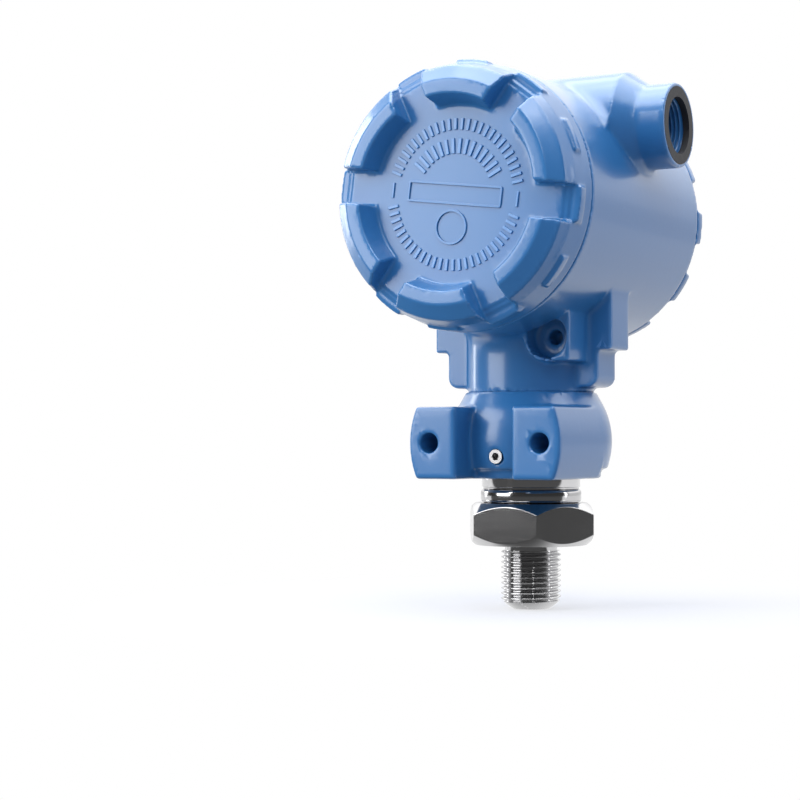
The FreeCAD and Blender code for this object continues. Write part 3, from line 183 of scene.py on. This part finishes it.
world = bpy.data.worlds.new("tent")
bpy.context.scene.world = world
world.use_nodes = True
world.cycles.sampling_method = "NONE"
tree = world.node_tree
rays = add_node(tree, "ShaderNodeLightPath")
place = add_node(tree, "ShaderNodeTexCoord")
height = add_node(tree, "ShaderNodeSeparateXYZ", {0: (place, "Generated")})
backdrop = ramp(tree, (height, "Z"), backdrop_run, backdrop_glow)
facing = along(tree, (place, "Generated"), room)
walls = ramp(tree, facing, room_run, (backdrop, room_brightness), "SMOOTHSTEP")
ceiling = ramp(tree, (height, "Z"), ceiling_run, ceiling_glow, "SMOOTHSTEP")
lit = value_mix(tree, (rays, "Is Glossy Ray"), tent_brightness, joined(tree, "MAXIMUM", walls, ceiling))
clear = joined(tree, "MAXIMUM", (rays, "Is Camera Ray"), (rays, "Is Transmission Ray"))
set_inputs(tree, tree.nodes["Background"], {
    "Color": colour_mix(tree, (rays, "Is Diffuse Ray"), (1, 1, 1), tent_tint),
    "Strength": value_mix(tree, clear, lit, 1.0)})

for name, watts, width, height, azimuth, elevation in (
        ("key_lamp", 8.4, 0.70, 0.80, -41, 18),
        ("left_strip", 2.5, 0.14, 0.9, -100, 10),
        ("top_lamp", 6, 0.9, 0.9, 5, 76),
        ("front_strip", 1.2, 0.10, 0.5, 34, 38),
        ("right_strip", 1.2, 0.12, 0.8, 112, 14)):
    around = math.radians(azimuth)
    up = math.radians(elevation)
    out = Vector((math.sin(around) * math.cos(up), -math.cos(around) * math.cos(up), math.sin(up)))
    light = bpy.data.lights.new(name, "AREA")
    light.shape = "RECTANGLE"
    light.size = width
    light.size_y = height
    light.energy = watts
    lamp = bpy.data.objects.new(name, light)
    lamp.location = lamp_aim + out * lamp_distance
    lamp.rotation_euler = out.to_track_quat("Z", "Y").to_euler()
    bpy.context.collection.objects.link(lamp)

# The process connection is turned from one stainless bar: a G 1/2 thread with an end chamfer and a run-out
# groove, the hexagon for the spanner, a polished stem, and the spigot that goes up into the adapter.
millimetre = 0.001
merge_distance = 1e-7
least_edge = 1e-8
thread_radius = 10.4775
thread_pitch = 1.814
thread_depth = 1.162
thread_length = 17.0
thread_step = 0.11
crest_share = 0.16
flank_share = 0.68
flank_softness = 0.35
turned_columns = 180
tip_height = 3.3
tip_radius = 6.6
tip_bulge = 0.35
undercut_radius = 9.2
undercut_fillet = 0.6
hex_base = 19.0
hex_top = 33.7
hex_apothem = 20.8
hex_land = 19.6
hex_chamfer = math.radians(41)
hex_side_turn = math.radians(60)
hex_columns = 96
hex_edge = 0.22
waist_radius = 13.6
waist_gap = 0.01
waist_overlap = 0.5
stem_radius = 17.6
stem_rounding = 1.4
stem_top = 38.6
groove_radius = 16.8
groove_top = 39.3
ring_radius = 17.2
ring_edge = 0.1
barrel_base = 42.3
spigot_radius = 15.0
spigot_edge = 0.4
spigot_top = 53.3
pressure_bore = 3.0
chamber_radius = 10.5
chamber_depth = 2.2
upright = ((1, 0, 0), (0, 1, 0), (0, 0, 1))


def place_mesh(name, mesh):
    """An object with this mesh, in the scene."""
    made = bpy.data.objects.new(name, mesh)
    bpy.context.collection.objects.link(made)
    return made


def grid_faces(count, columns):
    """Faces of a closed grid of points: its rounds follow one another and the last joins the first."""
    faces = []
    for row in range(count):
        upper = (row + 1) % count
        for column in range(columns):
            beside = (column + 1) % columns
            faces.append((row * columns + column, row * columns + beside,
                          upper * columns + beside, upper * columns + column))
    return faces


def add_piece(name, points, faces, sharp):
    """A piece from points in millimetres, its faces outwards, smooth but for edges sharper than an angle."""
    mesh = bpy.data.meshes.new(name)
    mesh.from_pydata([tuple(point) for point in np.asarray(points, float) * millimetre], [], faces)
    outward = bmesh.new()
    outward.from_mesh(mesh)
    bmesh.ops.remove_doubles(outward, verts=outward.verts, dist=merge_distance)
    bmesh.ops.dissolve_degenerate(outward, edges=outward.edges, dist=least_edge)
    bmesh.ops.recalc_face_normals(outward, faces=outward.faces)
    outward.to_mesh(mesh)
    outward.free()
    mesh.shade_smooth()
    mesh.set_sharp_from_angle(angle=math.radians(sharp))
    return place_mesh(name, mesh)


def turned(name, rows, columns, sharp, axes=upright, centre=(0, 0, 0)):
    """A closed piece round the third of three axes, from rows of radius and height in millimetres."""
    across, up, out = np.array(axes, float)
    turn = np.arange(columns) / columns * math.tau
    level = np.ones(columns)
    points = np.concatenate([
        centre + np.outer(radius * np.cos(turn), across) + np.outer(radius * np.sin(turn), up)
        + np.outer(level * height, out) for radius, height in rows])
    return add_piece(name, points, grid_faces(len(rows), columns), sharp)


def bevel(piece, width, angle=25.0):
    """A small bevel on the sharp edges, in millimetres."""
    modifier = piece.modifiers.new("edge", "BEVEL")
    modifier.width = width * millimetre
    modifier.segments = 2
    modifier.limit_method = "ANGLE"
    modifier.angle_limit = math.radians(angle)
    modifier.harden_normals = True


def corner_arc(centre, radius, first, last, steps=5):
    """Points of an arc in the profile plane, angles in degrees from the radius axis."""
    turns = np.radians(np.linspace(first, last, steps))
    return [(centre[0] + radius * math.cos(turn), centre[1] + radius * math.sin(turn)) for turn in turns]


def thread_wave(phase):
    """How deep the groove is, from 0 on the crest to 1 at the root, for a phase in turns."""
    rise = np.abs(2.0 * (phase - np.floor(phase)) - 1.0)
    flank = np.clip((rise - crest_share) / flank_share, 0.0, 1.0)
    return flank_softness * flank * flank * (3.0 - 2.0 * flank) + (1.0 - flank_softness) * flank


turn = np.arange(turned_columns) / turned_columns
rows = [(pressure_bore, spigot_top - chamber_depth), (pressure_bore, -tip_height)]
for height in [*np.arange(-tip_height, thread_length, thread_step), thread_length]:
    cone = tip_radius + (height + tip_height) * (thread_radius - tip_radius) / tip_height
    share = min(max((height + tip_height) / tip_height, 0.0), 1.0)
    wall = thread_radius - thread_depth * thread_wave(height / thread_pitch - turn)
    rows.append((np.minimum(wall, cone + tip_bulge * math.sin(share * math.pi)), height))
undercut_corner = (undercut_radius + undercut_fillet, hex_base - undercut_fillet)
stem_corner = stem_radius - stem_rounding
rows += [(undercut_radius, thread_length), *corner_arc(undercut_corner, undercut_fillet, 180, 90, steps=4),
         (waist_radius, hex_base), (waist_radius, hex_top - waist_gap), (stem_corner, hex_top - waist_gap),
         *corner_arc((stem_corner, hex_top + stem_rounding), stem_rounding, first=-80, last=0),
         *corner_arc((stem_corner, stem_top - stem_rounding), stem_rounding, first=0, last=85),
         (groove_radius, stem_top), (groove_radius, groove_top - ring_edge),
         (ring_radius - ring_edge, groove_top), (ring_radius, groove_top + ring_edge),
         (ring_radius, barrel_base), (spigot_radius, barrel_base),
         (spigot_radius, spigot_top - spigot_edge), (spigot_radius - spigot_edge, spigot_top),
         (chamber_radius, spigot_top)]
process_connection = turned("process_connection_turned", rows, turned_columns, sharp=75)

turn = np.arange(hex_columns) / hex_columns * math.tau
reach = hex_apothem / np.cos(turn % hex_side_turn - hex_side_turn / 2)
fall = (reach - hex_land) * math.tan(hex_chamfer)
inner = waist_radius - waist_overlap
rows = [(inner, hex_base), (hex_land, hex_base), (reach, hex_base + fall), (reach, hex_top - fall),
        (hex_land, hex_top), (inner, hex_top)]
hexagon = turned("process_connection_hexagon", rows, hex_columns, sharp=20)
bevel(hexagon, hex_edge, angle=16)

patch_shade = 0.85
edge_shine = 1.15
metal_spread = 0.10
metal_patches = 55.0
metal_relief = 0.0001
metal_edge = (0.52, 0.6)


def new_group(name, inputs, outputs):
    """A shader node group with named sockets; its own input and output nodes come back with it."""
    group = bpy.data.node_groups.new(name, "ShaderNodeTree")
    for label, kind in inputs.items():
        group.interface.new_socket(label, in_out="INPUT", socket_type=f"NodeSocket{kind}")
    for label in outputs:
        group.interface.new_socket(label, in_out="OUTPUT", socket_type="NodeSocketFloat")
    return group, group.nodes.new("NodeGroupInput"), group.nodes.new("NodeGroupOutput")


# Grain: slow patches for colour and polish, and fine marks for the height, which may run one way
surface_grain, given, result = new_group(
    "surface_grain", {"Patch Scale": "Float", "Mark Scale": "Float", "Stretch": "Vector"},
    ["Patches", "Marks"])
place = add_node(surface_grain, "ShaderNodeTexCoord")
laid = add_node(surface_grain, "ShaderNodeVectorMath", {0: (place, "Object"), 1: (given, "Stretch")},
                operation="MULTIPLY")
patches = add_node(surface_grain, "ShaderNodeTexNoise", {
    "Vector": (place, "Object"), "Scale": (given, "Patch Scale"), "Detail": 3.0})
marks = add_node(surface_grain, "ShaderNodeTexNoise", {
    "Vector": (laid, "Vector"), "Scale": (given, "Mark Scale"), "Detail": 4.0})
set_inputs(surface_grain, result, {"Patches": (patches, "Fac"), "Marks": (marks, "Fac")})

# Edge mask: where the surface turns outwards, from 0 to 1, for wear on handled metal edges and a painted
# highlight on the paint's rounded edges
edge_wear_and_highlight, given, result = new_group("edge_wear_and_highlight", {"Start": "Float", "Full": "Float"}, ["Edges"])
shape = add_node(edge_wear_and_highlight, "ShaderNodeNewGeometry")
run = ((given, "Start"), (given, "Full"))
set_inputs(edge_wear_and_highlight, result, {"Edges": ramp(edge_wear_and_highlight, (shape, "Pointiness"), run, (0.0, 1.0), "SMOOTHSTEP")})


def surface(name, colours, gloss, scales, relief, stretch=(1, 1, 1), edge=None, gloss_by="Marks", values=()):
    """A material with two colours in patches, a range of polish, and fine marks as its relief.

    Scales are of the patches and the marks, relief is strength and distance, and an edge is its colour, start
    and full. Values are plain inputs of the shader."""
    made, tree, shader = new_material(name)
    grain = add_node(tree, "ShaderNodeGroup", {
        "Patch Scale": scales[0], "Mark Scale": scales[1], "Stretch": stretch}, node_tree=surface_grain)
    colour = colour_mix(tree, (grain, "Patches"), *colours)
    if edge:
        # The edge colour is wear on bare metal and a painted highlight on the blue paint
        worn_and_lit_edges = add_node(tree, "ShaderNodeGroup", {"Start": edge[1], "Full": edge[2]}, node_tree=edge_wear_and_highlight)
        colour = colour_mix(tree, (worn_and_lit_edges, "Edges"), colour, edge[0])
    bump = add_node(tree, "ShaderNodeBump", {
        "Height": (grain, "Marks"), "Strength": relief[0], "Distance": relief[1]})
    set_inputs(tree, shader, {
        "Base Color": colour, "Roughness": ramp(tree, (grain, gloss_by), (0, 1), gloss),
        "Normal": (bump, "Normal"), **dict(values)})
    return made


def metal(name, colour, roughness, stretch=(1, 1, 1), marks=900.0, depth=0.05):
    """Bare metal with machining marks, a little darker in patches and brighter on handled edges."""
    darker = tuple(channel * patch_shade for channel in colour)
    brighter = tuple(min(1.0, channel * edge_shine) for channel in colour)
    return surface(name, (darker, colour), gloss=(roughness, roughness + metal_spread),
                   scales=(metal_patches, marks), relief=(depth, metal_relief), stretch=stretch,
                   edge=(brighter, *metal_edge), values={"Metallic": 1.0})


def finish(piece, material, body=None, slot=None, *replaced):
    """Gives a piece its material and body; a CAD node only takes the material. The slot is not used."""
    piece.data.materials.clear()
    piece.data.materials.append(material)
    if body:
        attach(piece, body)
    if replaced:
        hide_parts(*replaced)


def finish_nodes(material, *names):
    """Gives CAD nodes their material and leaves them as they are."""
    for name in names:
        finish(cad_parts[name], material)


polished_steel = metal("polished_steel", (0.60, 0.60, 0.61), 0.07, stretch=(0.15, 0.15, 6.0), marks=500.0,
                       depth=0.04)
finish(process_connection, polished_steel, "adapter", "polished_steel", "process_connection")
finish(hexagon, polished_steel, "adapter", "polished_steel", "process_connection")

# The sensor: a thin diaphragm welded to the spigot, an oil-filled capsule on it, and a header whose gilt pins
# stand in glass. All of it is inside the adapter and rides with it.
stainless = metal("stainless", (0.52, 0.52, 0.53), 0.22, marks=700.0)
header_metal = metal("header_metal", (0.45, 0.45, 0.44), 0.28)
gilt = metal("gold_plating", (0.72, 0.50, 0.20), 0.18)
finish_nodes(stainless, "isolating_diaphragm", "sensor_capsule")
finish_nodes(header_metal, "capsule_header")
finish_nodes(gilt, "header_pins")

# The adapter is cast in aluminium and painted: a barrel with two lugs in front, bored for a bracket's bolts.
# A cast piece's skin is its solid with the inside corners filled and the outside edges worn round.
axis_height = 135.3
weld_distance = 1e-6
band_cells = 3
coarse_flats = 0.004
fine_flats = 0.008


def solid_of(node):
    """A node's solid as welded points in millimetres and triangles."""
    welded = bmesh.new()
    welded.from_mesh(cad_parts[node].data)
    bmesh.ops.remove_doubles(welded, verts=welded.verts, dist=weld_distance)
    bmesh.ops.triangulate(welded, faces=welded.faces)
    points = np.array([vertex.co[:] for vertex in welded.verts], np.float32) / millimetre
    triangles = np.array([[vertex.index for vertex in face.verts] for face in welded.faces], np.uint32)
    welded.free()
    return points, triangles


def dense(grid):
    """A grid's distances as one block, with the place of its first cell."""
    low, high = grid.evalActiveVoxelBoundingBox()
    block = np.empty([last - first + 1 for first, last in zip(low, high)], np.float32)
    grid.copyToArray(block, ijk=low)
    return block, low


def slope(grid, points, grain):
    """Distance and outward direction at each point, read between the cells of a grid."""
    block, low = dense(grid)

    def read(places):
        cell = places / grain - low
        corner = np.clip(np.floor(cell).astype(int), 0, np.array(block.shape) - 2)
        share = cell - corner
        total = 0.0
        for step in np.ndindex(2, 2, 2):
            weight = np.prod(np.where(step, share, 1 - share), axis=1)
            total = total + weight * block[tuple((corner + step).T)]
        return total

    half = grain / 2
    run = np.stack([read(points + shift) - read(points - shift) for shift in np.eye(3) * half], 1)
    return read(points), run / np.maximum(np.linalg.norm(run, axis=1, keepdims=True), weld_distance)


def cast_skin(name, node, grain, root_radius, edge_radius, change=None):
    """A cast piece's skin: its solid with the inside corners filled and the outside edges rounded.

    The solid is grown and shrunk once for the corners, then shrunk and grown once for the edges."""
    scale = openvdb.createLinearTransform(grain)

    def level_set(shell, reach):
        points, triangles, quads = shell
        sides = {"quads": quads} if len(quads) else {}
        return openvdb.FloatGrid.createLevelSetFromPolygons(points, triangles=triangles, transform=scale,
                                                            halfWidth=reach / grain + band_cells, **sides)

    solid, triangles = solid_of(node)
    grid = level_set((solid, triangles, ()), root_radius)
    if change:
        block, low = dense(grid)
        places = np.meshgrid(*[(np.arange(count) + first) * grain for count, first in zip(block.shape, low)],
                             indexing="ij", sparse=True)
        grid = openvdb.FloatGrid(root_radius + band_cells * grain)
        grid.copyFromArray(change(block, *places).astype(np.float32), ijk=low)
        grid.transform = scale
    grid = level_set(grid.convertToPolygons(isovalue=root_radius, adaptivity=coarse_flats),
                     root_radius + edge_radius)
    grid = level_set(grid.convertToPolygons(isovalue=-root_radius - edge_radius, adaptivity=coarse_flats),
                     edge_radius)
    points, triangles, quads = grid.convertToPolygons(isovalue=edge_radius, adaptivity=fine_flats)
    points = points.astype(float)
    distance, outward = slope(grid, points, grain)
    points -= np.clip(distance - edge_radius, -grain, grain)[:, None] * outward
    outward = slope(grid, points, grain)[1]
    points = np.clip(points, solid.min(axis=0), solid.max(axis=0))
    first = (quads if len(quads) else triangles)[0]
    start, second, third = points[first[:3]]
    facing = np.cross(second - start, third - start) @ outward[first[0]]
    order = slice(None, None, 1 if facing > 0 else -1)
    mesh = bpy.data.meshes.new(name)
    mesh.from_pydata(points * millimetre, [], [face[order].tolist() for face in (*triangles, *quads)])
    mesh.shade_smooth()
    mesh.normals_split_custom_set_from_vertices(outward)
    return place_mesh(name, mesh)


# The lighter blue on the rounded edges is a painted highlight where the cast edges catch the light
paint = surface("blue_paint", ((0.030, 0.165, 0.390), (0.040, 0.190, 0.430)), gloss=(0.26, 0.34),
                scales=(14.0, 420.0), relief=(0.10, 0.0002), edge=((0.10, 0.28, 0.56), 0.51, 0.58),
                gloss_by="Patches", values={"Coat Weight": 0.6, "Coat Roughness": 0.15})
adapter = cast_skin("adapter_casting", "adapter_body", grain=0.45, root_radius=0.7, edge_radius=0.5)
finish(adapter, paint, "adapter", "blue_paint", "adapter_body")
finish_nodes(stainless, "retaining_screw")

# The housing is one casting: a drum on its side with a compartment at each end, two cable entries that flow
# into the drum, the neck that turns on the adapter, and the round earth recess in its square block.
drum_radius = 44.3
drum_half = 47.0
cavity_radius = 39.5
neck_radius = 22.0
entry_rise = 26.3
boss_radius = 19.3
boss_reach = 38.0
nozzle_start = 45.0
nozzle_radius = 14.3
entry_reach = 55.3
entry_bore = 9.25
entry_lip = 12.7
entry_thread_depth = 0.95
entry_thread_pitch = 1.5
entry_thread_span = (36.8, 52.8)
entry_thread_gap = 0.1
entry_sleeve_radius = 10.5
thread_rows = 10
root_base = 2.0
root_blend = (8.0, 2.0)
root_blend_span = (12.0, 38.0)
root_reach = 32.0
neck_blend = 5.0
collar_reach = 30.0
collar_drop = 30.0
ground_side = 16.8
ground_drop = 44.9
ground_recess = 7.2


def shared(*distances):
    """The distance to the part that all the shapes share."""
    return functools.reduce(np.maximum, distances)


def soft_union(first, second, width):
    """Two distances joined with a fillet about as wide as given."""
    overlap = np.maximum(width - np.abs(first - second), 0) / width
    return np.minimum(first, second) - overlap * overlap * width / 4


def dress_housing(block, x, y, z):
    """Fills the cast fillets at the bosses' roots and round the neck, and thickens the entries' thin lips.

    The bores, the recess and both compartments stay clear, and the open entry is widened for its thread."""
    above = z - axis_height
    drum_out = np.hypot(x, above)
    drum = np.maximum(drum_out - drum_radius, np.abs(y) - drum_half)
    across = np.abs(x)
    boss_out = np.hypot(y, above - entry_rise)
    narrowing = boss_radius - nozzle_radius
    run = nozzle_start - boss_reach
    cone = ((across - boss_reach) * narrowing + (boss_out - boss_radius) * run) / math.hypot(narrowing, run)
    boss = np.minimum(shared(boss_out - boss_radius, cone, across - nozzle_start),
                      shared(boss_out - nozzle_radius, across - entry_reach))
    roots = shared(soft_union(drum, boss, np.interp(above, root_blend_span, root_blend)),
                   cavity_radius - drum_out, entry_bore - boss_out, root_base - above,
                   above - entry_rise - boss_radius, across - boss_reach, np.abs(y) - root_reach)
    lips = shared(entry_lip - boss_out, boss_out - nozzle_radius, nozzle_start - across, across - entry_reach)
    neck_out = np.hypot(x, y)
    neck = np.maximum(neck_out - neck_radius, above + collar_drop)
    recess = shared(np.hypot(x - ground_side, above + ground_drop) - ground_recess, y)
    collar = shared(soft_union(drum, neck, neck_blend), cavity_radius - drum_out, neck_radius - neck_out,
                    neck_out - collar_reach, above + collar_drop, -recess)
    relief = shared(boss_out - entry_bore - entry_thread_depth - entry_thread_gap,
                    entry_thread_span[0] - x, x - entry_thread_span[1])
    return shared(functools.reduce(np.minimum, (block, roots, lips, collar)), -relief)


def thread_sleeve(name, axes, centre, span, seen_radius, depth, pitch, hidden_radius, columns):
    """A closed ring with a helical wall, along the third of three axes; a negative depth cuts outwards."""
    turn = np.arange(columns) / columns
    heights = np.linspace(*span, int((span[1] - span[0]) / pitch * thread_rows) + 1)
    rows = [(seen_radius - depth * thread_wave(height / pitch - turn), height) for height in heights]
    rows += [(hidden_radius, span[1]), (hidden_radius, span[0])]
    return turned(name, rows, columns, sharp=50, axes=axes, centre=centre)


housing = cast_skin("housing_casting", "housing", grain=0.5, root_radius=0.8, edge_radius=0.45,
                    change=dress_housing)
finish(housing, paint, "housing", "blue_paint", "housing")
entry_thread = thread_sleeve("entry_thread", ((0, 1, 0), (0, 0, 1), (1, 0, 0)),
                             (0, 0, axis_height + entry_rise), entry_thread_span, entry_bore,
                             -entry_thread_depth, entry_thread_pitch, entry_sleeve_radius, columns=180)
finish(entry_thread, paint, "housing", "blue_paint")
finish_nodes(stainless, "neck_lock_screw")

# The covers are cast like the housing and screwed in: the front one has six raised grips round its disc, both
# have a ring of small blocks on the rim, and a threaded spigot behind carries the ring seal.
cover_face = 57.5
cover_turn = math.radians(7.2)
cover_spigot = 39.4
cover_thread_span = (35.4, 43.9)
cover_thread_depth = 1.2
cover_thread_pitch = 2.0
cover_thread_clear = 1.0
cover_sleeve_radius = 38.0


def dress_cover(side):
    """Turns the spigot down where its thread sleeve goes; the side is -1 for the front and 1 for the rear."""
    def change(block, x, y, z):
        out = np.hypot(x, z - axis_height)
        relief = shared(cover_spigot - cover_thread_depth - out, out - cover_spigot - cover_thread_clear,
                        cover_thread_span[0] - side * y, side * y - cover_thread_span[1])
        return shared(block, -relief)

    return change


for name, side, grain in (("front_cover", -1, 0.36), ("rear_cover", 1, 0.4)):
    cover = cast_skin(f"{name}_casting", name, grain, root_radius=0.5, edge_radius=0.5,
                      change=dress_cover(side))
    finish(cover, paint, name, "blue_paint", name)
    sleeve = thread_sleeve(f"{name}_thread", ((-side, 0, 0), (0, 0, 1), (0, side, 0)), (0, 0, axis_height),
                           cover_thread_span, cover_spigot, cover_thread_depth, cover_thread_pitch,
                           cover_sleeve_radius, columns=240)
    finish(sleeve, paint, name, "blue_paint")

# Raised marks on the front disc: rings of short bars, a frame across the middle and a ring below, all plain.
# The bars stand on arcs that a geometry tree lays out, and every foot is sunk into the disc.
mark_height = 0.55
mark_sink = 0.3
mark_line = 0.8
bar_edge = 0.14
frame_edge = 0.12
bars = bpy.data.node_groups.new("ring_of_bars", "GeometryNodeTree")
sockets = {}
for label, kind in (("Radius", "Float"), ("Start", "Float"), ("Sweep", "Float"), ("Count", "Int"),
                    ("Bar", "Vector"), ("Place", "Vector"), ("Finish", "Material")):
    socket = bars.interface.new_socket(label, in_out="INPUT", socket_type=f"NodeSocket{kind}")
    sockets[label] = socket.identifier
bars.interface.new_socket("Geometry", in_out="OUTPUT", socket_type="NodeSocketGeometry")
given = bars.nodes.new("NodeGroupInput")
arc = add_node(bars, "GeometryNodeCurveArc", {
    "Resolution": (given, "Count"), "Radius": (given, "Radius"),
    "Start Angle": (given, "Start"), "Sweep Angle": (given, "Sweep")})
stands = add_node(bars, "GeometryNodeCurveToPoints", {"Curve": (arc, "Curve")}, mode="EVALUATED")
bar = add_node(bars, "GeometryNodeMeshCube", {"Size": (given, "Bar")})
copies = add_node(bars, "GeometryNodeInstanceOnPoints", {
    "Points": (stands, "Points"), "Instance": (bar, "Mesh"), "Rotation": (stands, "Rotation")})
laid = add_node(bars, "GeometryNodeTransform", {
    "Geometry": (copies, "Instances"), "Translation": (given, "Place"), "Rotation": (math.pi / 2, 0, 0)})
real = add_node(bars, "GeometryNodeRealizeInstances", {"Geometry": (laid, "Geometry")})
coated = add_node(bars, "GeometryNodeSetMaterial", {
    "Geometry": (real, "Geometry"), "Material": (given, "Finish")})
set_inputs(bars, bars.nodes.new("NodeGroupOutput"), {"Geometry": (coated, "Geometry")})


def baked(name, tree, values):
    """What a geometry tree makes with these inputs, as a plain mesh object."""
    source = place_mesh(f"{name}_source", bpy.data.meshes.new(f"{name}_source"))
    modifier = source.modifiers.new("tree", "NODES")
    modifier.node_group = tree
    for label, value in values.items():
        modifier[sockets[label]] = value
    source.update_tag()
    graph = bpy.context.evaluated_depsgraph_get()
    mesh = bpy.data.meshes.new_from_object(source.evaluated_get(graph), depsgraph=graph)
    bpy.data.objects.remove(source)
    mesh.name = name
    return place_mesh(name, mesh)


def raised_frame(name, width, height, rounding, rise):
    """A flat raised line round a rounded rectangle on the disc, in millimetres."""
    def outline(grow):
        corners = []
        for across, up, start in ((1, 1, 0), (-1, 1, 90), (-1, -1, 180), (1, -1, 270)):
            centre = (across * (width / 2 - rounding), up * (height / 2 - rounding))
            corners += corner_arc(centre, rounding + grow, start, start + 90, steps=9)
        return corners

    rows = [(outline(grow), depth) for grow, depth in (
        (0.0, -mark_sink), (0.0, mark_height), (-mark_line, mark_height), (-mark_line, -mark_sink))]
    sine, cosine = math.sin(cover_turn), math.cos(cover_turn)
    points = [(across * cosine + (up + rise) * sine, -(cover_face + depth),
               axis_height + (up + rise) * cosine - across * sine)
              for corners, depth in rows for across, up in corners]
    return add_piece(name, points, grid_faces(len(rows), len(rows[0][0])), sharp=30)


front_place = (0, -(cover_face + (mark_height - mark_sink) / 2) * millimetre, axis_height * millimetre)
for name, radius, start, sweep, count, width, length in (
        ("marks_outer_upper", 22.9, 14, 152, 27, 1.0, 3.8),
        ("marks_outer_lower", 22.9, 194, 152, 27, 1.0, 3.8),
        ("marks_inner", 15.8, 30, 120, 15, 1.1, 5.0),
        ("marks_sides", 22.9, 0, 180, 2, 0.7, 5.0)):
    piece = baked(f"front_cover_{name}", bars, {
        "Radius": radius * millimetre, "Start": math.radians(start) - cover_turn,
        "Sweep": math.radians(sweep), "Count": count,
        "Bar": (length * millimetre, (mark_height + mark_sink) * millimetre, width * millimetre),
        "Place": front_place, "Finish": paint})
    bevel(piece, bar_edge)
    finish(piece, paint, "front_cover", "blue_paint")
for name, width, height, rounding, rise in (
        ("marks_band", 34.6, 7.0, 0.9, 0.2), ("marks_ring", 11.6, 11.6, 5.79, -10.6)):
    piece = raised_frame(f"front_cover_{name}", width, height, rounding, rise)
    bevel(piece, frame_edge)
    finish(piece, paint, "front_cover", "blue_paint")

# Ring seals: black rubber cords in the neck's groove and behind each cover's flange, the flat seal in the
# open entry's mouth, and the flat ring under the plug that closes the other entry.
rubber = surface("seal_rubber", ((0.012, 0.012, 0.014), (0.03, 0.03, 0.033)), gloss=(0.5, 0.75),
                 scales=(120.0, 1500.0), relief=(0.1, 0.0001))
finish_nodes(rubber, "neck_seal", "front_cover_seal", "rear_cover_seal", "entry_seal", "plug_seal")

# The plug that closes the left entry, of nickel-plated brass with a hexagon head. It only takes a material,
# as all CAD nodes do that are shown as they are.
plug_metal = metal("plug_metal", (0.55, 0.54, 0.52), 0.2)
finish_nodes(plug_metal, "entry_plug")

# The electronics behind the front cover: a cast-resin cup, the board on its three posts, and the plug
# socket. The feed-through takes its gilt pins through the partition.
moulded_spread = 0.15
moulded_scales = (40.0, 600.0)
moulded_relief = (0.08, 0.0002)


def moulded(name, first, second, roughness):
    """A moulded or cast finish between two colours."""
    return surface(name, (first, second), gloss=(roughness, roughness + moulded_spread),
                   scales=moulded_scales, relief=moulded_relief)


resin = moulded("potting", (0.02, 0.02, 0.024), (0.04, 0.04, 0.045), 0.35)
laminate = moulded("board", (0.015, 0.12, 0.05), (0.03, 0.18, 0.08), 0.25)
ivory = moulded("socket_plastic", (0.62, 0.58, 0.46), (0.70, 0.66, 0.54), 0.4)
finish_nodes(resin, "electronics_cup")
finish_nodes(laminate, "circuit_board")
finish_nodes(ivory, "board_socket")
finish_nodes(stainless, "board_screws")
finish_nodes(header_metal, "feed_through")
finish_nodes(gilt, "feed_pins")

# The terminals behind the rear cover: a black moulded block with brass clamps, and the screws of both.
# The inner earth screw and its washer are in the same compartment.
black = moulded("terminal_plastic", (0.02, 0.02, 0.022), (0.035, 0.035, 0.04), 0.45)
brass = metal("brass", (0.62, 0.43, 0.17), 0.25)
finish_nodes(black, "terminal_block")
finish_nodes(brass, "terminal_clamps")
finish_nodes(stainless, "terminal_screws", "block_screws", "inner_ground_washer", "inner_ground_screw")
